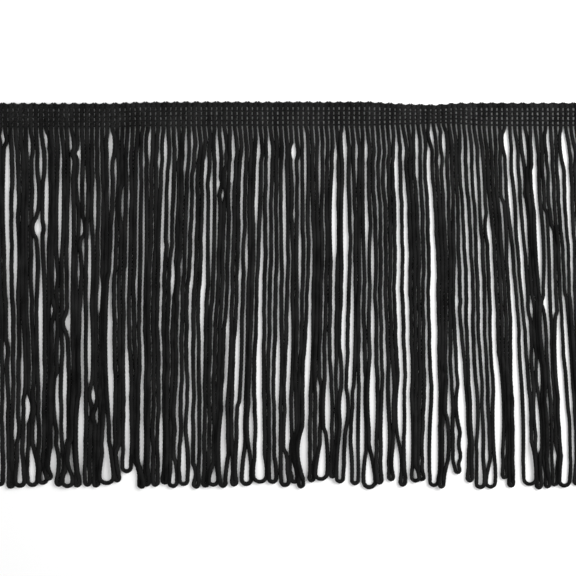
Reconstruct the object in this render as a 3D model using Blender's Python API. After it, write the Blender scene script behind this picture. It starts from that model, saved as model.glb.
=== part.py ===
"""A cut length of looped chainette fringe trim, lying flat.

A narrow knitted heading carries a skirt of yarn strands.  Each pair of neighbouring strands is one
length of yarn that turns round in a loop at the bottom.  The strands have drifted sideways into locks,
with open slits between the locks.

Sizes are in millimetres; MM turns them into metres.  +X runs along the heading, +Y points from the
loops towards the heading's scalloped edge, +Z points up, and the trim lies on z = 0.
"""
import math
import random

import bmesh
import bpy
import numpy as np

MM = 0.001

# Driving dimensions
STRAND_PITCH = 2.0       # from strand to strand where they leave the heading
LOOP_COUNT = 58          # bottom loops, two strands each
TOTAL_DROP = 152.4       # scallop tips to lowest loop
ROW_PITCH = 1.86         # between the heading's stitch rows
HEADING_ROWS = 4         # rows in the heading's own solid; the fringe's foot strip is one more
EDGE_TO_TOP_ROW = 1.6    # from the top row's middle to the hollows between the scallops
SCALLOP = 0.5            # how far a scallop stands out
SCALLOP_SHOULDER = 0.87  # share of that at a scallop's shoulders
FOOT_BELOW_ROW = 0.75    # from the foot row's middle to the heading's lower edge
SEAT_GAP = 0.3           # between the heading and the fringe's foot strip

RIDGE_HEIGHT = 1.9       # top of a stitch row
VALLEY_HEIGHT = 1.45     # between two rows
EDGE_HEIGHT = 1.2        # heading's outer edges, and the strands

YARN_WIDTH = 1.5         # room that one strand takes
STRAND_WIDTH = 1.3       # strand's solid, at its underside
STRAND_CROWN = 0.96      # and along its top
STRAND_HEIGHT = 1.2
SECTIONS_PER_LEG = 8
SECTIONS_PER_TURN = 3

PUSHES = 80              # rounds in which crowded strands push each other apart
UNEVEN_ENDS = 1.8        # the loops end within this height above the lowest
LOOP_SEED = 11

HEADING_GREY = 0.020
FRINGE_GREY = 0.012
HEADING_ROUGHNESS = 0.8
FRINGE_ROUGHNESS = 0.85

# Where the slits between the locks lie.  A slit is counted in strand pitches from the trim's middle.
# Its drift is how far it has moved along +X, and its opening is the clear width between the strands
# beside it, 12, 68 and 123 mm below the heading.
DROPS = (0.0, 12.0, 68.0, 123.0)
SLITS = (
    # slit, drift high, drift mid, drift low, open high, open mid, open low
    (-58, 0.0, 0.4, 0.8, 0.0, 0.0, 0.0),
    (-55, -0.4, 0.2, 1.2, 1.2, 0.8, 0.1),
    (-54, 0.4, 1.2, 0.9, 0.2, 0.5, 0.6),
    (-53, 1.1, 1.4, 0.7, 0.5, 0.6, 0.6),
    (-52, 0.1, 0.3, 1.0, 0.1, 0.1, 0.1),
    (-51, 0.2, 0.6, 1.3, 0.1, 0.1, 0.4),
    (-50, 0.4, 0.6, 1.0, 0.8, 0.5, 0.9),
    (-49, 0.9, 0.9, 0.9, 1.1, 1.8, 0.8),
    (-48, 1.3, 1.2, 0.9, 1.0, 0.7, 0.5),
    (-46, 0.3, 0.3, 0.2, 0.1, 0.3, 1.2),
    (-45, 0.8, 0.2, 0.2, 0.7, 0.6, 1.0),
    (-44, 0.6, 0.2, 0.4, 0.4, 0.6, 1.0),
    (-43, 0.9, 0.4, 0.9, 1.3, 0.8, 0.2),
    (-42, 0.6, 0.1, 0.5, 0.4, 0.1, 0.1),
    (-41, 0.1, -0.3, -0.6, 0.6, 0.4, 0.1),
    (-40, 0.4, -0.6, -1.2, 0.4, 1.0, 2.0),
    (-39, 0.2, 0.0, -0.5, 0.4, 1.2, 0.6),
    (-38, 0.1, -0.1, -0.9, 0.8, 0.1, 0.4),
    (-37, 0.2, 0.1, -1.1, 0.6, 0.3, 0.1),
    (-36, 0.1, -0.5, -1.5, 0.1, 0.1, 0.1),
    (-35, 0.1, -1.2, -1.6, 0.7, 0.1, 1.4),
    (-34, 0.3, -1.4, -1.1, 0.6, 1.1, 0.7),
    (-33, -0.1, -1.1, -1.0, 0.1, 0.5, 0.1),
    (-32, 0.0, -1.3, -1.5, 0.1, 0.3, 0.3),
    (-31, -0.4, -1.5, -1.0, 0.6, 0.4, 1.8),
    (-30, -0.4, -1.3, -0.5, 0.1, 0.4, 0.4),
    (-29, -0.4, -1.3, -1.3, 0.6, 0.8, 0.1),
    (-28, -0.4, -1.0, -1.4, 0.9, 1.3, 1.8),
    (-27, -0.6, -1.3, -1.4, 0.7, 0.3, 0.1),
    (-26, -0.5, -1.8, -2.2, 0.3, 0.4, 0.6),
    (-25, -0.4, -1.7, -2.0, 0.6, 0.1, 0.1),
    (-24, -0.2, -1.8, -1.6, 1.0, 1.2, 1.0),
    (-23, 0.2, -1.8, -2.6, 1.0, 0.4, 0.1),
    (-22, 0.2, -1.8, -3.0, 0.5, 0.6, 0.2),
    (-20, -0.1, -2.4, -3.4, 0.6, 0.5, 0.8),
    (-19, -0.2, -2.2, -3.1, 0.6, 0.1, 1.4),
    (-18, 0.0, -2.1, -2.7, 0.6, 1.3, 1.3),
    (-17, 0.0, -1.9, -2.1, 0.4, 0.6, 0.8),
    (-16, -0.2, -1.4, -2.2, 0.9, 2.0, 0.4),
    (-15, 0.1, -1.0, -2.0, 0.8, 0.6, 0.1),
    (-14, 0.5, -1.1, -2.3, 1.0, 0.8, 0.3),
    (-12, 0.3, -1.3, -2.5, 0.3, 0.5, 0.1),
    (-11, 0.4, -1.4, -3.5, 0.7, 0.7, 1.8),
    (-9, 0.5, -1.2, -3.2, 1.0, 1.1, 0.4),
    (-8, 0.3, -0.9, -2.4, 0.5, 0.6, 2.1),
    (-6, 0.2, -1.4, -2.4, 1.1, 0.5, 1.6),
    (-5, 0.5, -1.0, -1.2, 0.6, 1.7, 2.8),
    (-4, 0.7, -0.4, -0.4, 1.1, 0.8, 0.3),
    (-3, 0.6, -0.3, -0.5, 0.4, 0.8, 0.4),
    (-2, 0.4, 0.3, -0.5, 0.3, 0.9, 0.4),
    (-1, 0.6, 0.4, 0.4, 1.1, 1.1, 0.1),
    (0, 0.2, 0.5, -0.6, 0.3, 0.8, 1.4),
    (1, 0.5, 0.6, 0.2, 0.6, 0.4, 0.1),
    (2, 0.5, 0.4, 0.1, 0.6, 0.4, 0.1),
    (3, 0.5, 0.7, -1.0, 0.7, 0.3, 0.1),
    (4, 0.6, 0.6, -1.7, 0.4, 1.2, 2.8),
    (7, 0.4, -0.4, -0.6, 0.6, 0.1, 0.6),
    (8, 0.3, 0.0, -0.5, 0.4, 0.1, 0.8),
    (9, 0.7, -0.2, 0.2, 0.8, 1.5, 0.4),
    (11, 0.8, 0.5, -1.0, 1.2, 2.0, 1.2),
    (12, 0.7, 1.2, -0.6, 0.6, 1.0, 1.2),
    (13, 0.7, 1.1, 0.1, 0.7, 0.2, 1.6),
    (14, 0.7, 0.8, 1.1, 0.4, 0.5, 1.7),
    (15, 0.6, 1.2, 1.3, 0.9, 0.8, 0.1),
    (16, 0.6, 1.2, 1.2, 0.1, 1.0, 1.9),
    (18, 0.5, 1.6, 2.3, 0.6, 0.8, 2.0),
    (19, 0.5, 1.4, 2.6, 0.5, 0.3, 0.1),
    (21, 0.5, 1.6, 2.3, 1.1, 1.8, 1.3),
    (22, 1.1, 2.8, 3.2, 1.3, 1.8, 1.3),
    (25, 0.7, 2.4, 2.2, 0.9, 0.1, 0.1),
    (26, 0.8, 2.3, 2.5, 0.7, 0.5, 1.6),
    (27, 1.3, 3.3, 3.9, 1.3, 2.5, 2.3),
    (30, 1.4, 2.8, 3.2, 0.9, 0.1, 1.3),
    (32, 1.3, 2.2, 5.4, 0.1, 1.0, 2.4),
    (34, 0.7, 3.2, 4.7, 1.0, 1.2, 1.0),
    (36, 1.4, 3.7, 5.9, 1.0, 1.2, 0.6),
    (38, 1.4, 4.4, 6.6, 0.3, 1.5, 1.7),
    (42, 0.1, 4.1, 6.1, 0.4, 1.6, 3.1),
    (43, 0.3, 4.6, 8.1, 0.9, 0.7, 2.0),
    (44, 0.9, 4.9, 8.6, 1.5, 1.3, 0.1),
    (48, 0.5, 3.4, 6.6, 2.4, 0.4, 0.5),
    (51, 0.6, 4.1, 6.6, 0.8, 0.3, 2.9),
    (52, 0.7, 3.8, 7.9, 0.1, 0.6, 1.6),
    (54, 1.5, 3.7, 6.6, 1.8, 0.7, 1.0),
    (58, 0.6, 3.2, 5.2, 0.0, 0.0, 0.0),
)

# Loops that end higher than the others
SHORT_LOOPS = (
    # middle along X, height above the lowest loop
    (-92.0, 3.3),
    (-71.1, 1.8),
    (-66.4, 2.7),
    (-63.1, 6.2),
    (-11.0, 2.1),
    (-6.2, 2.2),
    (2.2, 2.2),
    (9.0, 2.8),
    (13.0, 3.4),
    (16.4, 4.2),
    (20.0, 2.2),
    (42.6, 2.9),
    (49.9, 2.8),
    (53.0, 3.0),
    (69.0, 5.8),
    (71.3, 2.6),
    (83.5, 4.0),
)

# The heading isn't quite straight: how far its two edges stand along +Y of a straight band
EDGE_LINE = (
    # along X, top edge, lower edge
    (-116.0, -0.4, -0.3),
    (-70.0, -0.4, -0.3),
    (-58.0, 0.0, 0.1),
    (-38.0, 0.2, 0.2),
    (32.0, 0.2, 0.4),
    (46.0, -0.7, 1.0),
    (58.0, -1.1, 1.4),
    (66.0, -0.3, 1.3),
    (76.0, -0.2, 0.3),
    (116.0, -0.2, 0.2),
)

# Worked out from the driving dimensions; Y is 0 half way between the seam and the top edge
STRAND_COUNT = 2 * LOOP_COUNT
HALF_LENGTH = STRAND_COUNT * STRAND_PITCH / 2
TOP_EDGE = ((HEADING_ROWS - 0.5) * ROW_PITCH + EDGE_TO_TOP_ROW) / 2
TOP_ROW = TOP_EDGE - EDGE_TO_TOP_ROW
FOOT_ROW = TOP_ROW - HEADING_ROWS * ROW_PITCH
LOWER_EDGE = FOOT_ROW - FOOT_BELOW_ROW
SEAM = FOOT_ROW + ROW_PITCH / 2
LOWEST_LOOP = TOP_EDGE + SCALLOP - TOTAL_DROP


def smooth_through(knots, values, at):
    """A smooth curve through the values at the knots, level at both ends."""
    knots = np.asarray(knots, float)
    values = np.asarray(values, float)
    slopes = np.zeros_like(values)
    slopes[1:-1] = ((values[2:] - values[:-2]).T / (knots[2:] - knots[:-2])).T
    at = np.clip(at, knots[0], knots[-1])
    left = np.clip(np.searchsorted(knots, at, side="right") - 1, 0, len(knots) - 2)
    span = knots[left + 1] - knots[left]
    t = (at - knots[left]) / span
    rise = t * t * (3 - 2 * t)
    chord = values[left] * (1 - rise) + values[left + 1] * rise
    lead_in = slopes[left] * (t ** 3 - 2 * t ** 2 + t) * span
    lead_out = slopes[left + 1] * (t ** 3 - t ** 2) * span
    return chord + lead_in + lead_out


def heading_y(x, straight_y):
    """Y on the uneven heading of a point that would be at straight_y on a straight one."""
    along, top, lower = zip(*EDGE_LINE)
    share = (straight_y - LOWER_EDGE) / (TOP_EDGE - LOWER_EDGE)
    return straight_y + share * np.interp(x, along, top) + (1 - share) * np.interp(x, along, lower)


def strand_places(drop):
    """X of every strand at this drop below the heading's lower edge.

    The strands of a lock share its width evenly, and then crowded neighbours push each other apart.
    """
    slit, *columns = (np.array(column) for column in zip(*SLITS))
    drift = smooth_through(DROPS, [0 * slit, *columns[:3]], drop)
    natural = np.full(len(slit), STRAND_PITCH - YARN_WIDTH)
    opening = smooth_through(DROPS, [natural, *columns[3:]], drop)
    middle = slit * STRAND_PITCH + drift
    places = []
    for lock in range(len(slit) - 1):
        left = middle[lock] + opening[lock] / 2
        right = middle[lock + 1] - opening[lock + 1] / 2
        count = slit[lock + 1] - slit[lock]
        step = (right - left - YARN_WIDTH) / max(count - 1, 1)
        first = (left + right - step * (count - 1)) / 2
        places.extend(first + step * number for number in range(count))
    places = np.array(places)
    for _ in range(PUSHES):
        crowding = np.clip(YARN_WIDTH - np.diff(places), 0, None) / 2
        places[:-1] -= crowding
        places[1:] += crowding
    return places


def loop_ends(bottoms):
    """Y of each bottom loop's lowest point, for the strands' places at the bottom."""
    draw = random.Random(LOOP_SEED)
    ends = [LOWEST_LOOP + UNEVEN_ENDS * draw.random() for _ in range(LOOP_COUNT)]
    middles = bottoms.reshape(-1, 2).mean(1)
    for middle, rise in SHORT_LOOPS:
        ends[int(np.argmin(np.abs(middles - middle)))] = LOWEST_LOOP + rise
    ends[draw.randrange(LOOP_COUNT)] = LOWEST_LOOP
    return ends


def yarn_material(name, grey, roughness):
    material = bpy.data.materials.new(name)
    material.use_nodes = True
    shader = material.node_tree.nodes["Principled BSDF"]
    shader.inputs["Base Color"].default_value = (grey, grey, grey, 1.0)
    shader.inputs["Roughness"].default_value = roughness
    shader.inputs["Metallic"].default_value = 0.0
    return material


def add_object(name, mesh_builder, material, parent):
    """An object whose mesh is closed, faces out and is measured in metres."""
    shape = bmesh.new()
    mesh_builder(shape)
    bmesh.ops.recalc_face_normals(shape, faces=shape.faces)
    bmesh.ops.scale(shape, vec=(MM, MM, MM), verts=shape.verts)
    mesh = bpy.data.meshes.new(name)
    shape.to_mesh(mesh)
    shape.free()
    mesh.materials.append(material)
    item = bpy.data.objects.new(name, mesh)
    item.parent = parent
    bpy.context.collection.objects.link(item)
    return item


def column(shape, x, points):
    """Vertices at X for a list of straight-heading (Y, Z) points."""
    return [shape.verts.new((x, heading_y(x, y), z)) for y, z in points]


def build_heading(shape):
    """The band of stitch rows: level underside, raised rows, scalloped top edge."""
    ridges = [SEAM + ROW_PITCH * (row + 0.5) for row in range(HEADING_ROWS)]
    profile = [(SEAM + SEAT_GAP, 0.0), (SEAM + SEAT_GAP, VALLEY_HEIGHT)]
    for row, ridge in enumerate(ridges):
        profile.append((ridge, RIDGE_HEIGHT))
        if row < HEADING_ROWS - 1:
            profile.append((ridge + ROW_PITCH / 2, VALLEY_HEIGHT))
    columns = []
    edges = []
    for station in range(STRAND_COUNT + 1):
        x = station * STRAND_PITCH - HALF_LENGTH
        columns.append(column(shape, x, profile))
        tip = SCALLOP if station % 2 == 0 else 0.0
        edges.append(column(shape, x, [(TOP_EDGE + tip, EDGE_HEIGHT), (TOP_EDGE + tip, 0.0)]))
        if station < STRAND_COUNT:
            shoulder = TOP_EDGE + SCALLOP * SCALLOP_SHOULDER
            middle = x + STRAND_PITCH / 2
            edges.append(column(shape, middle, [(shoulder, EDGE_HEIGHT), (shoulder, 0.0)]))
    for station in range(STRAND_COUNT):
        here, there = columns[station], columns[station + 1]
        for line in range(len(profile) - 1):
            shape.faces.new((here[line], there[line], there[line + 1], here[line + 1]))
        rim = edges[2 * station:2 * station + 3]
        shape.faces.new((here[-1], there[-1], rim[2][0], rim[1][0], rim[0][0]))
        for start, stop in zip(rim, rim[1:]):
            shape.faces.new((start[0], stop[0], stop[1], start[1]))
        shape.faces.new((here[0], rim[0][1], rim[1][1], rim[2][1], there[0]))
    for end in (0, -1):
        shape.faces.new((*columns[end], *edges[end]))


def strand_section(shape, centre, side):
    """Four corners of a strand's section: underside left, underside right, top right, top left."""
    corners = (
        (-STRAND_WIDTH, 0.0),
        (STRAND_WIDTH, 0.0),
        (STRAND_CROWN, STRAND_HEIGHT),
        (-STRAND_CROWN, STRAND_HEIGHT),
    )
    return [
        shape.verts.new((centre[0] + side[0] * width / 2, centre[1] + side[1] * width / 2, height))
        for width, height in corners
    ]


def build_foot_strip(shape):
    """The lowest stitch row, with a four-cornered root left open for each strand; returns the roots."""
    ridge = (FOOT_ROW, RIDGE_HEIGHT)
    back = [(SEAM, VALLEY_HEIGHT), (SEAM, 0.0)]
    roots = []
    for x in strand_places(0.0):
        roots.append(strand_section(shape, (x, heading_y(x, LOWER_EDGE)), (1.0, 0.0)))
    seams = [
        column(shape, station * STRAND_PITCH - HALF_LENGTH, [ridge, *back])
        for station in range(STRAND_COUNT + 1)
    ]
    first = column(shape, -HALF_LENGTH, [(LOWER_EDGE, 0.0), (LOWER_EDGE, STRAND_HEIGHT)])
    last = column(shape, HALF_LENGTH, [(LOWER_EDGE, 0.0), (LOWER_EDGE, STRAND_HEIGHT)])
    left_of = [first] + [[root[1], root[2]] for root in roots]
    right_of = [[root[0], root[3]] for root in roots] + [last]
    for number, root in enumerate(roots):
        here, there = seams[number], seams[number + 1]
        shape.faces.new((root[3], root[2], there[0], here[0]))
        shape.faces.new((root[0], root[1], there[2], here[2]))
        for line in range(2):
            shape.faces.new((here[line], there[line], there[line + 1], here[line + 1]))
    for number, seam in enumerate(seams):
        (left_low, left_high), (right_low, right_high) = left_of[number], right_of[number]
        shape.faces.new((left_low, right_low, right_high, left_high))
        shape.faces.new((left_high, right_high, seam[0]))
        shape.faces.new((left_low, right_low, seam[2]))
    for (low, high), seam in ((first, seams[0]), (last, seams[-1])):
        shape.faces.new((low, high, *seam))
    return roots


def loop_path(loop, end, drops, places):
    """Centre line of one loop, from root to root, without the roots: (x, y) points."""
    left, right = places[-1][2 * loop], places[-1][2 * loop + 1]
    radius = (right - left) / 2
    turn_y = end + radius + STRAND_WIDTH / 2
    down = []
    for drop, places_here in zip(drops[1:], places[1:]):
        share = drop / drops[-1]
        y = LOWER_EDGE + share * (turn_y - LOWER_EDGE)
        down.append((places_here[2 * loop], places_here[2 * loop + 1], y))
    turn = []
    for step in range(1, SECTIONS_PER_TURN):
        angle = math.pi * (1 + step / SECTIONS_PER_TURN)
        turn.append(((left + right) / 2 + radius * math.cos(angle), turn_y + radius * math.sin(angle)))
    left_leg = [(x, y) for x, _, y in down]
    right_leg = [(x, y) for _, x, y in reversed(down)]
    return left_leg + turn + right_leg


def build_fringe(shape):
    """The foot strip with its loops of yarn, fused to it only at their roots."""
    roots = build_foot_strip(shape)
    longest = LOWER_EDGE - LOWEST_LOOP
    drops = [longest * number / SECTIONS_PER_LEG for number in range(SECTIONS_PER_LEG + 1)]
    places = [strand_places(drop) for drop in drops]
    for loop, end in enumerate(loop_ends(places[-1])):
        path = loop_path(loop, end, drops, places)
        before, after = roots[2 * loop], roots[2 * loop + 1]
        sections = [before]
        for number, centre in enumerate(path):
            start = path[max(number - 1, 0)]
            stop = path[min(number + 1, len(path) - 1)]
            along = np.subtract(stop, start)
            if start[1] > centre[1] > stop[1]:
                along = (0.0, -1.0)
            if start[1] < centre[1] < stop[1]:
                along = (0.0, 1.0)
            side = (-along[1], along[0]) / np.hypot(*along)
            sections.append(strand_section(shape, centre, side))
        sections.append([after[1], after[0], after[3], after[2]])
        for start, stop in zip(sections, sections[1:]):
            for corner in range(4):
                beside = (corner + 1) % 4
                shape.faces.new((start[corner], start[beside], stop[beside], stop[corner]))


def build():
    for item in list(bpy.data.objects):
        bpy.data.objects.remove(item)
    trim = bpy.data.objects.new("trim", None)
    bpy.context.collection.objects.link(trim)
    heading_yarn = yarn_material("heading_yarn", HEADING_GREY, HEADING_ROUGHNESS)
    fringe_yarn = yarn_material("fringe_yarn", FRINGE_GREY, FRINGE_ROUGHNESS)
    add_object("heading", build_heading, heading_yarn, trim)
    add_object("fringe", build_fringe, fringe_yarn, trim)


build()
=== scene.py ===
"""Looks of the looped chainette fringe trim: its yarn, knitted heading, floor, light and camera.

Sizes are in millimetres, and MM turns them into metres.  The strands start from the solids' slits,
so the table of slits and the heading's edge line are repeated from part.py.  The soft yarn leaves
those slits a little more or less open than the solids do, waves, and parts at smaller gaps.
"""
import math

import bpy
import numpy as np
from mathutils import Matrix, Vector


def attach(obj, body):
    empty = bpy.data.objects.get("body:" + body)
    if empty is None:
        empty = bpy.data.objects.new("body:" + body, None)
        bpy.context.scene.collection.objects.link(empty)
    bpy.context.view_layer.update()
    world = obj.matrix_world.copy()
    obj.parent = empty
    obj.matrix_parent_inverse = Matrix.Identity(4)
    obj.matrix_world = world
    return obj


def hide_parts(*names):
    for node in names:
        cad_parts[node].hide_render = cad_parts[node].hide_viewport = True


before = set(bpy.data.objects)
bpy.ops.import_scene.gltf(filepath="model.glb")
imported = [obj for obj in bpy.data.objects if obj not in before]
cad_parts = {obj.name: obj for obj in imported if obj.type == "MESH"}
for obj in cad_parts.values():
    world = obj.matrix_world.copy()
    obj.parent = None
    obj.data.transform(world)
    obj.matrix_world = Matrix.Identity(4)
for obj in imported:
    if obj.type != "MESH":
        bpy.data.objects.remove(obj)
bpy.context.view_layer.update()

MM = 0.001

# ---------------------------------------------------------------- sizes shared with the solids
STRAND_PITCH = 2.0
LOOP_COUNT = 58
TOTAL_DROP = 152.4
ROW_PITCH = 1.86
HEADING_ROWS = 4
EDGE_TO_TOP_ROW = 1.6
SCALLOP = 0.5
FOOT_BELOW_ROW = 0.75
YARN_WIDTH = 1.5
PUSHES = 80
DROPS = (0.0, 12.0, 68.0, 123.0)
SLITS = (
    # slit, drift high, drift mid, drift low, open high, open mid, open low
    (-58, 0.0, 0.4, 0.8, 0.0, 0.0, 0.0),
    (-55, -0.4, 0.2, 1.2, 1.2, 0.8, 0.1),
    (-54, 0.4, 1.2, 0.9, 0.2, 0.5, 0.6),
    (-53, 1.1, 1.4, 0.7, 0.5, 0.6, 0.6),
    (-52, 0.1, 0.3, 1.0, 0.1, 0.1, 0.1),
    (-51, 0.2, 0.6, 1.3, 0.1, 0.1, 0.4),
    (-50, 0.4, 0.6, 1.0, 0.8, 0.5, 0.9),
    (-49, 0.9, 0.9, 0.9, 1.1, 1.8, 0.8),
    (-48, 1.3, 1.2, 0.9, 1.0, 0.7, 0.5),
    (-46, 0.3, 0.3, 0.2, 0.1, 0.3, 1.2),
    (-45, 0.8, 0.2, 0.2, 0.7, 0.6, 1.0),
    (-44, 0.6, 0.2, 0.4, 0.4, 0.6, 1.0),
    (-43, 0.9, 0.4, 0.9, 1.3, 0.8, 0.2),
    (-42, 0.6, 0.1, 0.5, 0.4, 0.1, 0.1),
    (-41, 0.1, -0.3, -0.6, 0.6, 0.4, 0.1),
    (-40, 0.4, -0.6, -1.2, 0.4, 1.0, 2.0),
    (-39, 0.2, 0.0, -0.5, 0.4, 1.2, 0.6),
    (-38, 0.1, -0.1, -0.9, 0.8, 0.1, 0.4),
    (-37, 0.2, 0.1, -1.1, 0.6, 0.3, 0.1),
    (-36, 0.1, -0.5, -1.5, 0.1, 0.1, 0.1),
    (-35, 0.1, -1.2, -1.6, 0.7, 0.1, 1.4),
    (-34, 0.3, -1.4, -1.1, 0.6, 1.1, 0.7),
    (-33, -0.1, -1.1, -1.0, 0.1, 0.5, 0.1),
    (-32, 0.0, -1.3, -1.5, 0.1, 0.3, 0.3),
    (-31, -0.4, -1.5, -1.0, 0.6, 0.4, 1.8),
    (-30, -0.4, -1.3, -0.5, 0.1, 0.4, 0.4),
    (-29, -0.4, -1.3, -1.3, 0.6, 0.8, 0.1),
    (-28, -0.4, -1.0, -1.4, 0.9, 1.3, 1.8),
    (-27, -0.6, -1.3, -1.4, 0.7, 0.3, 0.1),
    (-26, -0.5, -1.8, -2.2, 0.3, 0.4, 0.6),
    (-25, -0.4, -1.7, -2.0, 0.6, 0.1, 0.1),
    (-24, -0.2, -1.8, -1.6, 1.0, 1.2, 1.0),
    (-23, 0.2, -1.8, -2.6, 1.0, 0.4, 0.1),
    (-22, 0.2, -1.8, -3.0, 0.5, 0.6, 0.2),
    (-20, -0.1, -2.4, -3.4, 0.6, 0.5, 0.8),
    (-19, -0.2, -2.2, -3.1, 0.6, 0.1, 1.4),
    (-18, 0.0, -2.1, -2.7, 0.6, 1.3, 1.3),
    (-17, 0.0, -1.9, -2.1, 0.4, 0.6, 0.8),
    (-16, -0.2, -1.4, -2.2, 0.9, 2.0, 0.4),
    (-15, 0.1, -1.0, -2.0, 0.8, 0.6, 0.1),
    (-14, 0.5, -1.1, -2.3, 1.0, 0.8, 0.3),
    (-12, 0.3, -1.3, -2.5, 0.3, 0.5, 0.1),
    (-11, 0.4, -1.4, -3.5, 0.7, 0.7, 1.8),
    (-9, 0.5, -1.2, -3.2, 1.0, 1.1, 0.4),
    (-8, 0.3, -0.9, -2.4, 0.5, 0.6, 2.1),
    (-6, 0.2, -1.4, -2.4, 1.1, 0.5, 1.6),
    (-5, 0.5, -1.0, -1.2, 0.6, 1.7, 2.8),
    (-4, 0.7, -0.4, -0.4, 1.1, 0.8, 0.3),
    (-3, 0.6, -0.3, -0.5, 0.4, 0.8, 0.4),
    (-2, 0.4, 0.3, -0.5, 0.3, 0.9, 0.4),
    (-1, 0.6, 0.4, 0.4, 1.1, 1.1, 0.1),
    (0, 0.2, 0.5, -0.6, 0.3, 0.8, 1.4),
    (1, 0.5, 0.6, 0.2, 0.6, 0.4, 0.1),
    (2, 0.5, 0.4, 0.1, 0.6, 0.4, 0.1),
    (3, 0.5, 0.7, -1.0, 0.7, 0.3, 0.1),
    (4, 0.6, 0.6, -1.7, 0.4, 1.2, 2.8),
    (7, 0.4, -0.4, -0.6, 0.6, 0.1, 0.6),
    (8, 0.3, 0.0, -0.5, 0.4, 0.1, 0.8),
    (9, 0.7, -0.2, 0.2, 0.8, 1.5, 0.4),
    (11, 0.8, 0.5, -1.0, 1.2, 2.0, 1.2),
    (12, 0.7, 1.2, -0.6, 0.6, 1.0, 1.2),
    (13, 0.7, 1.1, 0.1, 0.7, 0.2, 1.6),
    (14, 0.7, 0.8, 1.1, 0.4, 0.5, 1.7),
    (15, 0.6, 1.2, 1.3, 0.9, 0.8, 0.1),
    (16, 0.6, 1.2, 1.2, 0.1, 1.0, 1.9),
    (18, 0.5, 1.6, 2.3, 0.6, 0.8, 2.0),
    (19, 0.5, 1.4, 2.6, 0.5, 0.3, 0.1),
    (21, 0.5, 1.6, 2.3, 1.1, 1.8, 1.3),
    (22, 1.1, 2.8, 3.2, 1.3, 1.8, 1.3),
    (25, 0.7, 2.4, 2.2, 0.9, 0.1, 0.1),
    (26, 0.8, 2.3, 2.5, 0.7, 0.5, 1.6),
    (27, 1.3, 3.3, 3.9, 1.3, 2.5, 2.3),
    (30, 1.4, 2.8, 3.2, 0.9, 0.1, 1.3),
    (32, 1.3, 2.2, 5.4, 0.1, 1.0, 2.4),
    (34, 0.7, 3.2, 4.7, 1.0, 1.2, 1.0),
    (36, 1.4, 3.7, 5.9, 1.0, 1.2, 0.6),
    (38, 1.4, 4.4, 6.6, 0.3, 1.5, 1.7),
    (42, 0.1, 4.1, 6.1, 0.4, 1.6, 3.1),
    (43, 0.3, 4.6, 8.1, 0.9, 0.7, 2.0),
    (44, 0.9, 4.9, 8.6, 1.5, 1.3, 0.1),
    (48, 0.5, 3.4, 6.6, 2.4, 0.4, 0.5),
    (51, 0.6, 4.1, 6.6, 0.8, 0.3, 2.9),
    (52, 0.7, 3.8, 7.9, 0.1, 0.6, 1.6),
    (54, 1.5, 3.7, 6.6, 1.8, 0.7, 1.0),
    (58, 0.6, 3.2, 5.2, 0.0, 0.0, 0.0),
)
EDGE_LINE = (
    # along X, top edge, lower edge
    (-116.0, -0.4, -0.3),
    (-70.0, -0.4, -0.3),
    (-58.0, 0.0, 0.1),
    (-38.0, 0.2, 0.2),
    (32.0, 0.2, 0.4),
    (46.0, -0.7, 1.0),
    (58.0, -1.1, 1.4),
    (66.0, -0.3, 1.3),
    (76.0, -0.2, 0.3),
    (116.0, -0.2, 0.2),
)

STRAND_COUNT = 2 * LOOP_COUNT
HALF_LENGTH = STRAND_COUNT * STRAND_PITCH / 2
TOP_EDGE = ((HEADING_ROWS - 0.5) * ROW_PITCH + EDGE_TO_TOP_ROW) / 2
TOP_ROW = TOP_EDGE - EDGE_TO_TOP_ROW
FOOT_ROW = TOP_ROW - HEADING_ROWS * ROW_PITCH
LOWER_EDGE = FOOT_ROW - FOOT_BELOW_ROW
LOWEST_LOOP = TOP_EDGE + SCALLOP - TOTAL_DROP

# ---------------------------------------------------------------- yarn
# By slit, how far the soft yarn leaves it open, as a share of the solids' opening
OPENNESS = ((-58, -20, 20), (1.0, 1.1, 0.9))
YARN_HALF_WIDTH = 0.74
YARN_HALF_HEIGHT = 0.62
YARN_SIDES = 8
THINNING = 0.5           # power by which yarn that lies wider lies lower
SQUARENESS = 0.7         # below 1 the yarn's section is flatter on top and steeper at its sides
STITCH = 1.6             # length of one chainette stitch along the yarn
RINGS_PER_STITCH = 3
FLATTENED = (0.19, 0.02) # how much wider the yarn lies at the left end and at the right end
ROLL = 0.06              # how much wider and narrower it gets where it rolls on the floor
ROLL_LENGTH = (35.0, 80.0)
STITCH_SWELL = 0.06      # how much a stitch swells and narrows the yarn
CHEVRON = 1.6            # how far a stitch's V runs ahead at the yarn's sides, in radians
YARN_PIECES = 4
HEADING_HEIGHT = 0.72    # of the yarn's centre line inside the heading
UNREST = 0.07            # how far a strand wanders inside the heading
UNREST_RATE = 1.9        # how fast it does, in radians a millimetre
UNREST_SHIFT = 2.4       # and how fast that changes along X
NIPPED = (1.15, 0.98)    # share of its width to which the stitches nip the yarn, left and right
NIP_FADE = 6.0           # drop over which it swells out again
ANY_PHASE = (0, 6)       # radians within which a wave may start
SEED = 7


def smooth_through(knots, values, at):
    """A smooth curve through the values at the knots, level at both ends."""
    knots = np.asarray(knots, float)
    values = np.asarray(values, float)
    slopes = np.zeros_like(values)
    slopes[1:-1] = ((values[2:] - values[:-2]).T / (knots[2:] - knots[:-2])).T
    at = np.clip(at, knots[0], knots[-1])
    left = np.clip(np.searchsorted(knots, at, side="right") - 1, 0, len(knots) - 2)
    span = knots[left + 1] - knots[left]
    t = (at - knots[left]) / span
    rise = t * t * (3 - 2 * t)
    chord = values[left] * (1 - rise) + values[left + 1] * rise
    lead_in = slopes[left] * (t ** 3 - 2 * t ** 2 + t) * span
    lead_out = slopes[left + 1] * (t ** 3 - t ** 2) * span
    return chord + lead_in + lead_out


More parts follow.
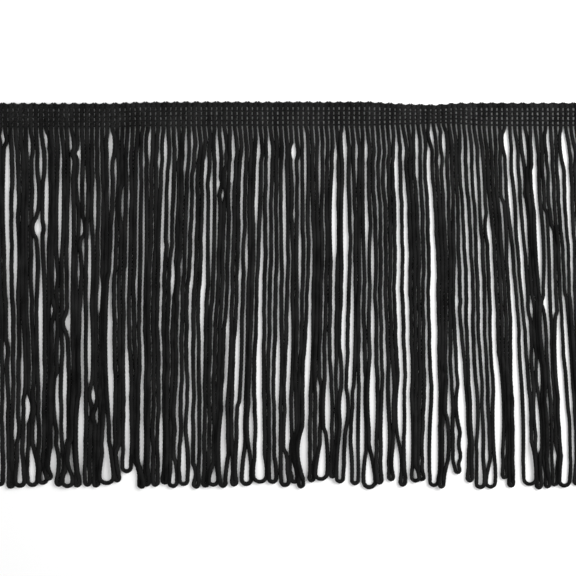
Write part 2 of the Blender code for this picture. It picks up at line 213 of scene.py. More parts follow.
def heading_y(x, straight_y):
    """Y on the uneven heading of a point that would be at straight_y on a straight one."""
    along, top, lower = zip(*EDGE_LINE)
    share = (straight_y - LOWER_EDGE) / (TOP_EDGE - LOWER_EDGE)
    return straight_y + share * np.interp(x, along, top) + (1 - share) * np.interp(x, along, lower)


def strand_places(drop):
    """X of every strand at this drop below the heading's lower edge, before it waves."""
    slit, *columns = (np.array(column) for column in zip(*SLITS))
    drift = smooth_through(DROPS, [0 * slit, *columns[:3]], drop)
    natural = np.full(len(slit), STRAND_PITCH - YARN_WIDTH)
    opening = smooth_through(DROPS, [natural, *columns[3:]], drop)
    opening *= np.interp(slit, *OPENNESS)
    middle = slit * STRAND_PITCH + drift
    places = []
    for lock in range(len(slit) - 1):
        left = middle[lock] + opening[lock] / 2
        right = middle[lock + 1] - opening[lock + 1] / 2
        count = slit[lock + 1] - slit[lock]
        step = (right - left - YARN_WIDTH) / max(count - 1, 1)
        first = (left + right - step * (count - 1)) / 2
        places.extend(first + step * number for number in range(count))
    places = np.array(places)
    for _ in range(PUSHES):
        crowding = np.clip(CLOSEST - np.diff(places), 0, None) / 2
        places[:-1] -= crowding
        places[1:] += crowding
    return places


# ---------------------------------------------------------------- strand paths
PATH_STEP = STITCH / RINGS_PER_STITCH
WAVES = (
    # wavelength, sideways reach, change of phase from strand to strand
    (70.0, 0.25, 0.25),
    (27.0, 0.13, 0.45),
    (12.0, 0.06, 0.9),
    (5.5, 0.04, 3.0),
)
WAVE_FADE_IN = 6.0       # drop over which the waves grow from nothing
WAVE_SPREAD = 0.2        # how far the wavelengths differ from strand to strand
SPREAD_STRANDS = 7       # strands over which they change by a radian
# By X, how far strands swing out to the right, and the drop over which they swing out and back
SWING = ((-60.0, -35.0, 45.0, 70.0), (0.0, 0.6, 0.6, 0.3))
SWING_LENGTH = 14.0
CLOSEST = 1.15           # strands are pushed apart to this spacing
DEEPEST_DROP = 160.0     # strand places are worked out down to here
DROP_STEP = 1.0
ENDS_DROP = 135.0        # where the loops' middles are compared with LOOP_ENDS

# The smaller gaps are held as they were read off the photograph, in its pixels
PIXEL = 0.393            # millimetres of the trim in one pixel
MIDDLE_PIXEL = 288.0     # across the photograph, where X is 0
EDGE_PIXEL = 127.9       # down the photograph, where the drop is 0
OPENINGS = (
    # middle across, upper end, lower end, width, lean to the right
    (3, 127, 146, 3.5, 3),
    (6.5, 148, 262, 3.5, 1),
    (15.5, 180, 218, 4, 0),
    (16.5, 224, 290, 2.3, 0),
    (29.3, 127, 150, 2.2, 3),
    (35.5, 180, 224, 3.5, -3),
    (38.5, 217, 238, 7, 0),
    (34.5, 238, 304, 3.5, 0),
    (41, 143, 183, 3.5, 0),
    (46, 127, 147, 3.5, 3),
    (45.8, 155, 275, 2.6, -0.5),
    (60.3, 153, 265, 3.8, -2),
    (71.3, 130, 170, 3.5, 2.5),
    (70.5, 155, 312, 3, -1),
    (78.7, 149, 157, 4, 0),
    (79, 162, 198, 2.5, 0),
    (76, 188, 245, 2, 0),
    (82, 215, 232, 1.8, 2),
    (85, 160, 212, 1.8, 0),
    (94.5, 172, 270, 2.2, 0),
    (110.8, 127, 160, 5.3, 0),
    (116, 152, 193, 2, 0),
    (122.7, 190, 224, 2.5, 0),
    (55, 258, 287, 2.5, 0),
    (52, 303, 316, 3, 0),
    (55, 315, 340, 2, 0),
    (59.5, 335, 372, 2, 0),
    (79, 257, 300, 2, 0),
    (90, 222, 304, 2.8, 0),
    (5, 340, 358, 2.5, 1),
    (9.5, 300, 408, 2, 3),
    (22.5, 300, 395, 2, 3),
    (41, 250, 400, 4.5, 0),
    (68, 314, 331, 5, 0),
    (64.7, 345, 453, 4, 0),
    (57.5, 378, 431, 4, 2),
    (82.7, 280, 400, 3, -1),
    (89.5, 300, 395, 3.5, 0),
    (100.3, 275, 308, 2.5, 0),
    (110.4, 285, 425, 5, 1),
    (126, 310, 410, 2, 0),
    (28, 393, 417, 5, 2),
    (93.5, 386, 405, 4, 1),
    (97, 408, 426, 2.5, 1),
    (41, 400, 460, 3, 0),
    (81, 400, 482, 5.5, 1.5),
    (15.7, 411, 436, 3, 2),
    (20.3, 452, 512, 5, 0),
    (32.7, 451, 496, 7.5, 0),
    (35.8, 411, 456, 3, 0),
    (42.8, 467, 507, 5, 3),
    (46, 424, 465, 2, 0),
    (54, 444, 482, 6, 0),
    (60, 436, 474, 3.5, 3),
    (68, 470, 510, 6, 0),
    (72.5, 445, 481, 3.5, 4),
    (107, 440, 528, 10, 0),
    (119, 452, 482, 3, 1),
    (127.5, 400, 473, 5.5, 0.5),
    (135, 468, 506, 7, -2),
    (142, 400, 481, 4.7, 0),
    (109.6, 150, 215, 1.5, -1),
    (128, 165, 300, 2, -2),
    (138, 150, 300, 2.2, -1.5),
    (143.7, 160, 300, 2.4, -1),
    (148.3, 168, 245, 1.8, -1.5),
    (169.8, 155, 240, 3.2, -4),
    (162.6, 165, 290, 3.3, -3.5),
    (144.5, 127, 168, 2.8, 0),
    (149.5, 127, 168, 2.8, 0),
    (160, 127, 165, 2.2, 0),
    (165.7, 128, 172, 3.5, 0),
    (177, 127, 158, 2.2, 2),
    (186, 127, 168, 2.7, 0),
    (191.5, 127, 168, 2.3, 0),
    (171, 127, 190, 3.2, 0),
    (173, 255, 290, 3.5, 1),
    (175.5, 175, 240, 1.7, -3),
    (188.3, 165, 265, 1.3, -4),
    (206.5, 150, 178, 2.5, 0),
    (212, 142, 178, 2, 0),
    (211.3, 142, 300, 2.6, -2),
    (217.5, 127, 178, 3.3, 2.5),
    (218.5, 178, 190, 3.2, 0),
    (222.5, 187, 202, 3, 0),
    (246.5, 232, 282, 3, 0),
    (222.8, 127, 165, 1.8, 3.5),
    (232.8, 127, 178, 2, 1.5),
    (243, 155, 178, 2.5, 0),
    (257.3, 127, 240, 3, -2),
    (269, 127, 178, 2, 2),
    (284.5, 158, 290, 3, 0),
    (293.8, 143, 163, 5, 0),
    (294, 205, 224, 2.2, 0),
    (299.5, 150, 300, 2, -1),
    (305.3, 130, 215, 2.5, 0),
    (333.2, 172, 265, 3, -0.5),
    (319.5, 135, 205, 2, 0),
    (385.8, 165, 197, 2.2, 0),
    (396.8, 127, 230, 3.5, 2),
    (416.7, 127, 190, 2.2, 3),
    (431.5, 127, 152, 3, 4),
    (438.5, 127, 165, 2, 3),
    (443.7, 130, 164, 3.3, 2),
    (468.5, 140, 178, 2.5, 0.5),
    (488.5, 214, 244, 3.5, 1),
    (503, 205, 262, 2.2, 2.5),
    (506, 128, 160, 4.5, 3),
    (511, 168, 240, 3.5, 5),
    (521.3, 153, 190, 2.3, 3),
    (524.7, 127, 165, 2.2, 4),
    (526, 200, 262, 2.8, 4),
    (530, 188, 232, 2.2, 2.5),
    (544.8, 160, 185, 2, 2),
    (548, 128, 162, 2.7, 3),
    (546, 215, 300, 1.8, 2.5),
    (538.5, 190, 290, 5.5, 5),
    (482, 163, 232, 1.8, 1.5),
    (572, 143, 160, 2, 2),
    (552, 232, 300, 2, 0),
    (560.5, 150, 184, 2, 3),
    (564.5, 126, 175, 5.5, 5),
    (545, 297, 309, 3.5, 0),
    (457, 297, 309, 3, 0),
    (335, 145, 178, 3, 0),
    (344.5, 127, 178, 3, 3.5),
    (345.3, 165, 300, 5, 0),
    (351.3, 155, 230, 1.8, 1),
    (356, 140, 185, 2, 1),
    (361.5, 200, 300, 1.2, 1),
    (366, 127, 300, 2.6, 2.5),
    (372.5, 225, 300, 3, 0),
    (150, 438, 464, 3.5, -1),
    (161.3, 400, 481, 3.5, 0),
    (177.5, 400, 439, 3, 2),
    (173, 464, 502, 4, -2),
    (184, 434, 502, 4.5, 0),
    (189.5, 400, 468, 4, 0),
    (192, 463, 482, 4, 2),
    (196, 400, 466, 3, 0.5),
    (213.7, 470, 505, 5, 1),
    (223.3, 400, 480, 5, -3),
    (227.5, 305, 400, 3, -3.5),
    (238.5, 300, 400, 2.5, -2),
    (244.6, 300, 400, 2, -2),
    (278.2, 310, 420, 3.3, -1.5),
    (202.2, 300, 405, 3, -1),
    (196.2, 320, 400, 2.2, 0),
    (259.7, 310, 445, 4.8, 0),
    (229.7, 461, 503, 4, 1),
    (240, 400, 500, 4.5, -5),
    (251.3, 400, 453, 4.5, 0.5),
    (246.8, 447, 515, 6, 0),
    (260, 445, 505, 10, 0),
    (272.3, 455, 495, 4, 0.5),
    (287, 395, 460, 2.8, -2.5),
    (285, 455, 500, 4, 1),
    (294, 455, 482, 5, 1),
    (303.8, 425, 470, 8.5, -2),
    (289.7, 300, 400, 3, -1.5),
    (309.3, 300, 400, 3.5, -2.5),
    (352, 255, 385, 3.5, -0.5),
    (338.5, 355, 397, 1.8, 0),
    (372.5, 295, 360, 3.8, 0),
    (319, 385, 421, 3, 0),
    (321, 435, 515, 8, -6),
    (327.5, 372, 447, 5.5, 0),
    (343.5, 385, 430, 5.5, 0),
    (340.5, 425, 484, 3, -4),
    (347.5, 443, 515, 5, -2),
    (354.5, 400, 520, 4, -1),
    (362, 360, 520, 4.3, 0),
    (372.5, 355, 448, 6.5, 1),
    (369.5, 450, 520, 8, 3),
    (385, 400, 470, 5.5, 1),
    (391, 360, 424, 2.5, 1),
    (396.5, 440, 490, 6.5, 1),
    (400, 380, 446, 5, 1),
    (408.5, 380, 500, 5, 0),
    (415, 471, 500, 4, 0),
    (426.5, 412, 466, 5.5, -3),
    (434.5, 380, 520, 7, -1),
    (444, 420, 476, 5.5, -2),
    (448, 380, 437, 3, 0),
    (450, 460, 520, 12, 0),
    (460.5, 385, 430, 5.5, 1.5),
    (464, 428, 458, 7, -0.5),
    (463.5, 457, 474, 6, 1),
    (473.8, 380, 447, 4, 0.5),
    (479.5, 400, 470, 3.5, 1),
    (485, 388, 472, 2.7, 2),
    (498, 360, 475, 7.5, 0),
    (531, 297, 320, 2.5, 2),
    (536.7, 300, 350, 2.3, 3),
    (542.5, 306, 358, 2.7, 3),
    (534, 348, 378, 2, 1.5),
    (539, 355, 398, 2.3, 1.5),
    (545, 365, 415, 2, 2),
    (537.5, 390, 448, 3.5, 4),
    (543, 405, 445, 2.2, 2),
    (568.5, 300, 440, 3, 8),
    (558.5, 318, 400, 5, 3),
    (490.3, 467, 505, 5, 0),
    (505, 424, 455, 3, 0),
    (517.5, 360, 520, 7.5, 0),
    (529.3, 440, 510, 8.5, 1),
    (542, 463, 505, 4.5, 1),
    (555.7, 449, 479, 4, 2),
    (563, 455, 520, 5, 1),
    (563.5, 390, 450, 7.5, 5),
)
GAP_FADE = 3.0           # length over which strands come together past a gap's ends
SQUEEZED = 0.9           # spacing of the strands that a gap crowds
CONTACT = 0.85           # share of its width over which a yarn keeps others off
GRID = 0.2               # cell of the height map
MAP_MARGIN = (12.0, 4.0) # how far the height map reaches past the yarn
SMOOTHING = 3.0          # length over which a yarn bridges what it crosses
FREE_BELOW = 1.0         # a yarn lies on the floor or on others from this far below the heading
OWN_END = 3.0            # a loop's half doesn't lift the other this near the end they share

# Loops whose ends show in the photograph
LOOP_ENDS = (
    # middle along X, height above the lowest loop
    (-92.0, 3.3),
    (-71.1, 1.8),
    (-66.4, 2.7),
    (-63.1, 6.2),
    (-11.0, 2.1),
    (-6.2, 2.2),
    (2.2, 2.2),
    (9.0, 2.8),
    (13.0, 3.4),
    (16.4, 4.2),
    (20.0, 2.2),
    (42.6, 2.9),
    (49.9, 2.8),
    (53.0, 3.0),
    (69.0, 5.8),
    (71.3, 2.6),
    (83.5, 4.0),
)
UNEVEN_ENDS = 1.8        # the other loops end within this height above the lowest
LEAST_GAP = 0.3
END_LENGTH = 5.0         # length over which a loop's legs settle to the width of its end
CROSSED_SHARE = 0.12     # loops whose legs cross once, above the bottom
CROSSING_HEIGHT = (6.0, 20.0)
CROSSING_LENGTH = 10.0
OUTLINE_STEP = 0.4
TURN_POINTS = 9          # in each half of a loop's turn
SCALLOP_POINTS = 7       # in each half of a scallop
ROOT_RISE = 0.3          # a root starts this far above the heading's edge
END_MARGIN = 0.1         # at the trim's ends a strand has no scallop


def smoothstep(value):
    """0 up to 0, 1 from 1 on, and a smooth rise between."""
    value = np.clip(value, 0, 1)
    return value * value * (3 - 2 * value)


def pushed_apart(places, spacing):
    """Neighbours closer than the spacing move away from each other, at every drop."""
    for _ in range(PUSHES):
        crowding = np.clip(spacing - np.diff(places, axis=0), 0, None) / 2
        places[:-1] -= crowding
        places[1:] += crowding
    return places


def waved_places(draw):
    """The drops, a step apart, and every strand's X there."""
    drops = np.arange(0.0, DEEPEST_DROP, DROP_STEP)
    places = np.array([strand_places(drop) for drop in drops]).T
    waves = np.zeros_like(places)
    for wavelength, reach, change in WAVES:
        phase = np.cumsum(draw.normal(0, change, STRAND_COUNT)) + draw.uniform(*ANY_PHASE)
        length = wavelength * (1 + WAVE_SPREAD * np.sin(np.arange(STRAND_COUNT) / SPREAD_STRANDS))
        turns = drops[None, :] / length[:, None]
        waves += reach * np.sin(2 * math.pi * turns + phase[:, None])
    fade = smoothstep(drops / WAVE_FADE_IN)
    swung = np.sin(math.pi * np.clip(drops / SWING_LENGTH, 0, 1))
    swing = np.interp(places[:, :1], *SWING) * swung
    places = pushed_apart(places + swing + waves * fade, CLOSEST)
    natural_slits = (places[:-1] + places[1:]) / 2
    for opening in sorted(OPENINGS, key=lambda row: row[3]):  # the narrowest first
        open_gap(places, drops, natural_slits, *opening)
    return drops, places


def open_gap(places, drops, natural_slits, across, upper, lower, width, lean):
    """Open the slit nearest to a gap's middle to a lens shape, and push away what that crowds."""
    x = (across - MIDDLE_PIXEL) * PIXEL
    drop = ((upper + lower) / 2 - EDGE_PIXEL) * PIXEL
    reach = (lower - upper) / 2 * PIXEL
    slant = lean / (lower - upper)
    away = np.abs(drops - drop) / reach
    half = width * PIXEL / 2 * np.clip(1 - away ** 2, 0, None)
    held = smoothstep((1 - away) * reach / GAP_FADE + 1) * smoothstep(drops / GAP_FADE)
    middle = x + slant * (drops - drop)
    split = int(np.argmin(np.abs(natural_slits[:, np.argmin(away)] - x))) + 1
    for side, strands in ((-1, range(split - 1, -1, -1)), (1, range(split, STRAND_COUNT))):
        limit = middle + side * (half + YARN_HALF_WIDTH)
        for strand in strands:
            outside = side * (places[strand] - limit) > 0
            pushed = np.where(outside, places[strand], limit)
            if outside[held > 0].all():
                break
            places[strand] += held * (pushed - places[strand])
            limit = limit + side * SQUEEZED


def loop_ends(draw, bottoms):
    """How each loop ends: its height above the lowest, and that of its legs' crossing or 0."""
    middles = bottoms.reshape(-1, 2).mean(1)
    ends = []
    for _ in range(LOOP_COUNT):
        rise = UNEVEN_ENDS * draw.random()
        ends.append((rise, draw.uniform(*CROSSING_HEIGHT) * (draw.random() < CROSSED_SHARE)))
    for middle, rise in LOOP_ENDS:
        ends[int(np.argmin(np.abs(middles - middle)))] = (rise, 0.0)
    return ends


def loop_outline(loop, end, drops, places):
    """Centre lines of a loop's left and right halves, from the scallops to the loop's bottom."""
    left, right = 2 * loop, 2 * loop + 1
    rise, crossing = end
    lowest_drop = LOWER_EDGE - LOWEST_LOOP - rise - YARN_HALF_WIDTH
    gap = np.interp(lowest_drop, drops, places[right] - places[left]) - 2 * YARN_HALF_WIDTH
    end_half = max(gap, LEAST_GAP) / 2 + YARN_HALF_WIDTH
    turn_drop = lowest_drop - end_half
    leg = np.arange(0.0, turn_drop, OUTLINE_STEP)
    left_x = np.interp(leg, drops, places[left])
    right_x = np.interp(leg, drops, places[right])
    middle = (left_x + right_x) / 2
    near_end = smoothstep((leg - turn_drop) / END_LENGTH + 1)
    half = (right_x - left_x) / 2 * (1 - near_end) + end_half * near_end
    if crossing:
        past = (leg - turn_drop + crossing) / CROSSING_LENGTH + 0.5
        half *= 1 - 2 * smoothstep(past)
    angle = np.linspace(0, math.pi / 2, TURN_POINTS)[1:]
    halves = []
    for side, strand in ((-1, left), (1, right)):
        x = middle + side * half
        root = places[strand][0]
        settle = (heading_y(root, LOWER_EDGE) - LOWER_EDGE) * (1 - leg / turn_drop)
        down = np.stack([x, LOWER_EDGE - leg + settle], 1)
        turn_x = middle[-1] + side * half[-1] * np.cos(angle)
        turn_y = LOWER_EDGE - leg[-1] - end_half * np.sin(angle)
        start = in_heading(root, side)[::-1]
        halves.append(np.concatenate([start, down, np.stack([turn_x, turn_y], 1)]))
    return halves


def in_heading(x, side):
    """From a strand's root up through the heading and over to the middle of its scallop."""
    rows = np.arange(LOWER_EDGE + ROOT_RISE, TOP_ROW, OUTLINE_STEP)
    unrest = UNREST * np.sin(UNREST_RATE * (rows - LOWER_EDGE) + UNREST_SHIFT * x)
    points = [(x + aside, heading_y(x, y)) for y, aside in zip(rows, unrest)]
    half = STRAND_PITCH / 2
    height = TOP_EDGE + SCALLOP - YARN_HALF_WIDTH * NIPPED[1] - TOP_ROW
    if abs(x + side * half) > HALF_LENGTH - END_MARGIN:
        return np.array(points)
    for angle in np.linspace(0, math.pi / 2, SCALLOP_POINTS):
        over = x + side * half * (1 - math.cos(angle))
        points.append((over, heading_y(over, TOP_ROW + height * math.sin(angle))))
    return np.array(points)


def resample(points, step):
    """The same line with its points about a step apart."""
    lengths = np.concatenate([[0], np.cumsum(np.hypot(*np.diff(points, axis=0).T))])
    count = max(int(round(lengths[-1] / step)), 2)
    at = np.linspace(0, lengths[-1], count + 1)
    return np.stack([np.interp(at, lengths, points[:, axis]) for axis in range(2)], 1)


class HeightMap:
    """Top of the yarns laid so far, on a fine grid over the floor."""

    def __init__(self):
        beside, beyond = MAP_MARGIN
        self.low = np.array([-HALF_LENGTH - beside, LOWEST_LOOP - beyond])
        size = np.array([2 * HALF_LENGTH + 2 * beside, TOP_EDGE + beyond - self.low[1]])
        self.cells = np.zeros(tuple((size / GRID).astype(int) + 1))
        reach = int(YARN_HALF_WIDTH * CONTACT / GRID) + 1
        around = np.arange(-reach, reach + 1)
        i, j = np.meshgrid(around, around, indexing="ij")
        share = np.hypot(i, j) * GRID / (YARN_HALF_WIDTH * CONTACT)
        keep = share < 1
        self.i, self.j = i[keep], j[keep]
        self.bulge = YARN_HALF_HEIGHT * np.sqrt(1 - share[keep] ** 2)

    def index(self, points):
        """The map's cells under a yarn's section, for each point."""
        at = ((points - self.low) / GRID).astype(int)
        rows = np.clip(at[:, :1] + self.i, 0, self.cells.shape[0] - 1)
        columns = np.clip(at[:, 1:] + self.j, 0, self.cells.shape[1] - 1)
        return rows, columns

    def rest_height(self, points):
        """Height of a yarn's centre line where it lies on what is already there."""
        rows, columns = self.index(points)
        return np.maximum((self.cells[rows, columns] + self.bulge).max(1), YARN_HALF_HEIGHT)

    def lay(self, points, heights):
        """Put a yarn with its centre line at these heights on the map."""
        rows, columns = self.index(points)
        np.maximum.at(self.cells, (rows, columns), heights[:, None] + self.bulge)


def bridged(heights):
    """The line of a yarn that bends softly over what it crosses."""
    reach = int(SMOOTHING / PATH_STEP / 2)
    padded = np.pad(heights, reach, mode="edge")
    highest = np.lib.stride_tricks.sliding_window_view(padded, 2 * reach + 1).max(1)
    return softened(highest)


def softened(heights):
    """The heights averaged along the yarn under a bell curve."""
    reach = int(SMOOTHING / PATH_STEP / 2)
    wide = np.arange(-2 * reach, 2 * reach + 1) / reach
    weights = np.exp(-2 * wide ** 2)
    weights /= weights.sum()
    return np.convolve(np.pad(heights, 2 * reach, mode="edge"), weights, "valid")


def all_loops():
    """Every loop's centre line as (x, y, z) points, a step apart, from scallop to scallop."""
    draw = np.random.default_rng(SEED)
    drops, places = waved_places(draw)
    ends = loop_ends(draw, places[:, int(ENDS_DROP / DROP_STEP)])
    ground = HeightMap()
    loops = [None] * LOOP_COUNT
    for loop in draw.permutation(LOOP_COUNT):
        halves = []
        for outline in loop_outline(loop, ends[loop], drops, places):
            path = resample(outline, PATH_STEP)
            free = path[:, 1] < LOWER_EDGE - FREE_BELOW
            heights = np.where(free, ground.rest_height(path), HEADING_HEIGHT)
            heights = bridged(heights)
            clear = free & (path[:, 1] > path[-1, 1] + OWN_END)
            ground.lay(path[clear], heights[clear])
            halves.append((path, heights, free))
        for path, heights, free in halves:
            ground.lay(path[free], heights[free])
        (left, left_heights, _), (right, right_heights, _) = halves
        path = np.concatenate([left, right[-2::-1]])
        heights = softened(np.concatenate([left_heights, right_heights[-2::-1]]))
        loops[loop] = np.column_stack([path, heights])
    return loops


# ---------------------------------------------------------------- meshes
def tube(path, half_width, half_height, sides, swell, chevron, stitch):
    """Vertices, stitch count and sideness of a flat-lying yarn along a path, ring after ring.

    half_width and half_height are one number each, or one for each point of the path.
    """
    half_width = np.broadcast_to(half_width, len(path))[:, None]
    half_height = np.broadcast_to(half_height, len(path))[:, None]
    along = np.gradient(path, axis=0)
    along /= np.linalg.norm(along, axis=1)[:, None]
    side = np.cross(along, (0.0, 0.0, 1.0))
    side /= np.linalg.norm(side, axis=1)[:, None]
    over = np.cross(side, along)
    lengths = np.concatenate([[0], np.cumsum(np.linalg.norm(np.diff(path, axis=0), axis=1))])
    count = lengths / stitch
    angle = np.arange(sides) * 2 * math.pi / sides
    across = rounded(np.cos(angle))
    phase = 2 * math.pi * count[:, None] - chevron * np.abs(across)
    size = 1 + swell * np.cos(phase)
    offset = (
        side[:, None, :] * (size * half_width * across)[:, :, None]
        + over[:, None, :] * (size * half_height * rounded(np.sin(angle)))[:, :, None]
    )
    return path[:, None, :] + offset, count, across


def rounded(share):
    """A circle's sine or cosine, taken towards a box with round corners."""
    return np.sign(share) * np.abs(share) ** SQUARENESS


def yarn_width(path, draw):
    """Half the yarn's width along a loop: nipped in the heading, uneven where it lies free."""
    swollen = smoothstep((LOWER_EDGE - path[:, 1]) / NIP_FADE)
    flattened = np.interp(path[:, 0], (-HALF_LENGTH, HALF_LENGTH), FLATTENED)
    at = np.arange(len(path)) * PATH_STEP
    turns = 2 * math.pi * at / draw.uniform(*ROLL_LENGTH)
    rolled = ROLL * np.sin(turns + draw.uniform(*ANY_PHASE))
    nipped = np.interp(path[:, 0], (-HALF_LENGTH, HALF_LENGTH), NIPPED)
    return YARN_HALF_WIDTH * (nipped + (1 + flattened + rolled - nipped) * swollen)


def mesh_of_tubes(name, tubes, material):
    """One object from several tubes, each (vertices by ring and side, stitch count, sideness)."""
    vertices, quads, ends, stitches, sidenesses = [], [], [], [], []
    base = 0
    for rings, count, across in tubes:
        number, sides = rings.shape[:2]
        index = base + np.arange(number * sides).reshape(number, sides)
        beside = np.roll(index, -1, axis=1)
        quads.append(np.stack([index[:-1], index[1:], beside[1:], beside[:-1]], -1).reshape(-1, 4))
        ends.extend([index[0], index[-1][::-1]])
        vertices.append(rings.reshape(-1, 3))
        stitches.append(np.repeat(count, sides))
        sidenesses.append(np.tile(across, number))
        base += number * sides
    vertices = np.concatenate(vertices) * MM
    faces = [face for block in quads for face in block.tolist()] + [end.tolist() for end in ends]
    mesh = bpy.data.meshes.new(name)
    mesh.from_pydata(vertices.tolist(), [], faces)
    for label, values in (("stitch", stitches), ("sideness", sidenesses)):
        attribute = mesh.attributes.new(label, "FLOAT", "POINT")
        attribute.data.foreach_set("value", np.concatenate(values).astype(np.float32))
    mesh.shade_smooth()
    mesh.update()
    mesh.materials.append(material)
    item = bpy.data.objects.new(name, mesh)
    bpy.context.collection.objects.link(item)
    return item


# ---------------------------------------------------------------- heading stitches
THREAD_HALF_WIDTH = 0.28
THREAD_HALF_HEIGHT = 0.24
THREAD_SIDES = 6
THREAD_STEP = 0.3
THREAD_MARGIN = 0.3      # a row's threads end this far inside the trim's ends
THREAD_SWELL = 0.05      # how much the thread's own twist swells it
THREAD_CHEVRON = 1.0     # how far that twist runs ahead at its sides, in radians
THREAD_STITCH = 0.7      # length of one turn of the twist
PLAIT_REACH = 0.38       # how far a thread stands off its row's middle over a strand
OVER_STRAND = 1.5        # height of a thread's centre line over a strand
BETWEEN_STRANDS = 0.8    # and between two strands
CROSSING_LIFT = 0.12     # how far it passes over or under the other thread there
WOBBLE = 0.06            # how far a row strays sideways
WOBBLE_LENGTH = (3, 5)   # X over which it changes by a radian
TIGHTNESS = 0.18         # how far a thread's stitches differ in width
TIGHTNESS_LENGTH = (1.5, 2.5)
EDGE_ROW = 1.18          # the edge chain lies this far above the top row
EDGE_REACH = 0.12


def row_threads(row_y, reach, draw):
    """The two threads that chain one stitch row, crossing between the strands."""
    x = np.arange(-HALF_LENGTH + THREAD_MARGIN, HALF_LENGTH - THREAD_MARGIN, THREAD_STEP)
    turn = math.pi * (x / STRAND_PITCH - 0.5)
    wobble = WOBBLE * np.sin(x / draw.uniform(*WOBBLE_LENGTH) + draw.uniform(*ANY_PHASE))
    over = np.abs(np.cos(turn))
    threads = []
    for sign in (1, -1):
        uneven = np.sin(x / draw.uniform(*TIGHTNESS_LENGTH) + draw.uniform(*ANY_PHASE))
        y = row_y + sign * reach * (1 + TIGHTNESS * uneven) * np.cos(turn) + wobble
        z = BETWEEN_STRANDS + (OVER_STRAND - BETWEEN_STRANDS) * over
        z = z + CROSSING_LIFT * sign * np.sin(turn)
        threads.append(np.column_stack([x, heading_y(x, y), z]))
    return threads


# ---------------------------------------------------------------- materials
MOTTLE = (0.7, 1.3)      # where the mottle reaches the darkest and the lightest tint
DARKEST = 0.35           # share of the yarn's grey
LIGHTEST = 1.8           # share of it too
GROOVE_SHARE = 0.35      # how much the stitches' grooves add to the fibres in the bump
BUMP_STRENGTH = 0.6
BUMP_DEPTH = 0.00012     # in metres


def shader_material(name, grey, roughness, specular):
    """A plain grey material, and its shader."""
    material = bpy.data.materials.new(name)
    material.use_nodes = True
    shader = material.node_tree.nodes["Principled BSDF"]
    shader.inputs["Base Color"].default_value = (grey, grey, grey, 1.0)
    shader.inputs["Roughness"].default_value = roughness
    shader.inputs["Specular IOR Level"].default_value = specular
    return material, shader


def noise(nodes, links, place, scale, detail, stretch):
    """Noise drawn out along the strands by the stretch."""
    lie = nodes.new("ShaderNodeMapping")
    lie.inputs["Scale"].default_value = (1.0, 1.0 / stretch, 1.0)
    links.new(place.outputs["Object"], lie.inputs["Vector"])
    pattern = nodes.new("ShaderNodeTexNoise")
    pattern.inputs["Scale"].default_value = scale
    pattern.inputs["Detail"].default_value = detail
    links.new(lie.outputs["Vector"], pattern.inputs["Vector"])
    return pattern.outputs["Fac"]


def maths(nodes, links, operation, first, second=0.0, third=0.0):
    """One arithmetic step on sockets or numbers."""
    step = nodes.new("ShaderNodeMath")
    step.operation = operation
    for place, value in enumerate((first, second, third)):
        if isinstance(value, (int, float)):
            step.inputs[place].default_value = value
        else:
            links.new(value, step.inputs[place])
    return step.outputs["Value"]


def yarn_material(name, grey, roughness, streak):
    """Matt dark yarn: streaks along the strands, V-shaped stitches and fine fibres."""
    material, shader = shader_material(name, grey, roughness, specular=0.08)
    nodes, links = material.node_tree.nodes, material.node_tree.links
    place = nodes.new("ShaderNodeTexCoord")
    streaks = noise(nodes, links, place, scale=1400.0, detail=3.0, stretch=streak)
    patches = noise(nodes, links, place, scale=260.0, detail=2.0, stretch=2.0)
    mottle = maths(nodes, links, "ADD", streaks, patches)
    tint = nodes.new("ShaderNodeMapRange")
    tint.inputs["From Min"].default_value = MOTTLE[0]
    tint.inputs["From Max"].default_value = MOTTLE[1]
    tint.inputs["To Min"].default_value = DARKEST * grey
    tint.inputs["To Max"].default_value = LIGHTEST * grey
    links.new(mottle, tint.inputs["Value"])
    colour = nodes.new("ShaderNodeCombineColor")
    for channel in ("Red", "Green", "Blue"):
        links.new(tint.outputs["Result"], colour.inputs[channel])
    links.new(colour.outputs["Color"], shader.inputs["Base Color"])

    stitch = nodes.new("ShaderNodeAttribute")
    stitch.attribute_name = "stitch"
    sideness = nodes.new("ShaderNodeAttribute")
    sideness.attribute_name = "sideness"
    ahead = maths(nodes, links, "ABSOLUTE", sideness.outputs["Fac"])
    behind = maths(nodes, links, "MULTIPLY", ahead, -CHEVRON)
    phase = maths(nodes, links, "MULTIPLY_ADD", stitch.outputs["Fac"], 2 * math.pi, behind)
    groove = maths(nodes, links, "COSINE", phase)
    fibres = noise(nodes, links, place, scale=9000.0, detail=3.0, stretch=4.0)
    height = maths(nodes, links, "MULTIPLY_ADD", groove, GROOVE_SHARE, fibres)
    bump = nodes.new("ShaderNodeBump")
    bump.inputs["Strength"].default_value = BUMP_STRENGTH
    bump.inputs["Distance"].default_value = BUMP_DEPTH
    links.new(height, bump.inputs["Height"])
    links.new(bump.outputs["Normal"], shader.inputs["Normal"])
    return material


# ---------------------------------------------------------------- building
strand_yarn = yarn_material("strand_yarn", grey=0.0067, roughness=0.8, streak=14.0)
heading_yarn = yarn_material("heading_yarn", grey=0.0105, roughness=0.75, streak=1.0)

loops = all_loops()
per_piece = math.ceil(LOOP_COUNT / YARN_PIECES)
draw = np.random.default_rng(SEED + 2)
for number in range(YARN_PIECES):
    tubes = []
    for path in loops[number * per_piece:(number + 1) * per_piece]:
        width = yarn_width(path, draw)
        height = YARN_HALF_HEIGHT * (YARN_HALF_WIDTH / width) ** THINNING
        tubes.append(tube(path, width, height, YARN_SIDES, STITCH_SWELL, CHEVRON, STITCH))
    yarn = mesh_of_tubes(f"looped_yarn_{number + 1}", tubes, strand_yarn)
    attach(yarn, "root")
    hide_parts("fringe")

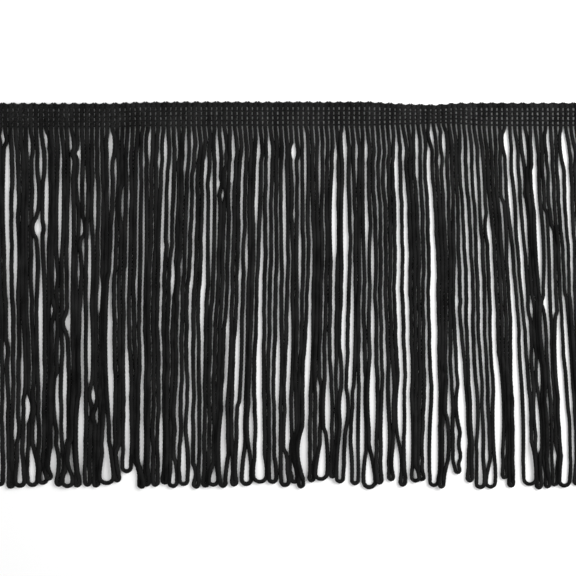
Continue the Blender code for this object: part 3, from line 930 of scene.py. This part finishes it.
draw = np.random.default_rng(SEED + 1)
threads = []
row_lines = [(TOP_ROW - row * ROW_PITCH, PLAIT_REACH) for row in range(HEADING_ROWS + 1)]
row_lines.append((TOP_ROW + EDGE_ROW, EDGE_REACH))
row_lines.append((TOP_ROW + EDGE_ROW / 2, PLAIT_REACH))
for row_y, reach in row_lines:
    for path in row_threads(row_y, reach, draw):
        threads.append(tube(path, THREAD_HALF_WIDTH, THREAD_HALF_HEIGHT, THREAD_SIDES,
                            THREAD_SWELL, THREAD_CHEVRON, THREAD_STITCH))
stitches = mesh_of_tubes("heading_stitches", threads, heading_yarn)
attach(stitches, "root")
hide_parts("heading")

# ---------------------------------------------------------------- floor, light and camera
VIEW_WIDTH = 226.4       # of the trim across the picture
VIEW_MIDDLE_Y = -68.64
LENS = 85.0
SENSOR = 36.0

# The rest is in metres
FLOOR_SIZE = 4.0
FLOOR_CLEARANCE = 0.0001 # from the floor up to the trim
LIGHTS_AIM = (0.0, -0.07, 0.0)
SKY_STRENGTH = 0.28
NEAREST_SEEN = 0.01

bpy.ops.mesh.primitive_plane_add(size=FLOOR_SIZE, location=(0, 0, -FLOOR_CLEARANCE))
floor = bpy.context.object
floor.name = "floor"
floor_paint, _ = shader_material("floor_paint", grey=0.9, roughness=0.9, specular=0.1)
floor.data.materials.append(floor_paint)


def area_light(name, place, size, power):
    """A square light that shines on the trim."""
    data = bpy.data.lights.new(name, "AREA")
    data.energy = power
    data.size = size
    item = bpy.data.objects.new(name, data)
    item.location = place
    direction = [b - a for a, b in zip(place, LIGHTS_AIM)]
    item.rotation_mode = "QUATERNION"
    item.rotation_quaternion = Vector(direction).to_track_quat("-Z", "Y")
    bpy.context.collection.objects.link(item)


area_light("key", place=(0.36, 0.1, 0.38), size=0.35, power=3.5)
area_light("fill", place=(-0.4, -0.2, 1.0), size=0.8, power=5.3)
world = bpy.data.worlds.new("world")
bpy.context.scene.world = world
world.use_nodes = True
background = world.node_tree.nodes["Background"]
background.inputs["Color"].default_value = (1.0, 1.0, 1.0, 1.0)
background.inputs["Strength"].default_value = SKY_STRENGTH

lens = bpy.data.cameras.new("camera")
lens.lens = LENS
lens.sensor_width = SENSOR
lens.clip_start = NEAREST_SEEN
camera = bpy.data.objects.new("camera", lens)
camera.location = (0.0, VIEW_MIDDLE_Y * MM, VIEW_WIDTH * MM * LENS / SENSOR)
bpy.context.collection.objects.link(camera)
bpy.context.scene.camera = camera
bpy.context.scene.view_settings.view_transform = "Standard"
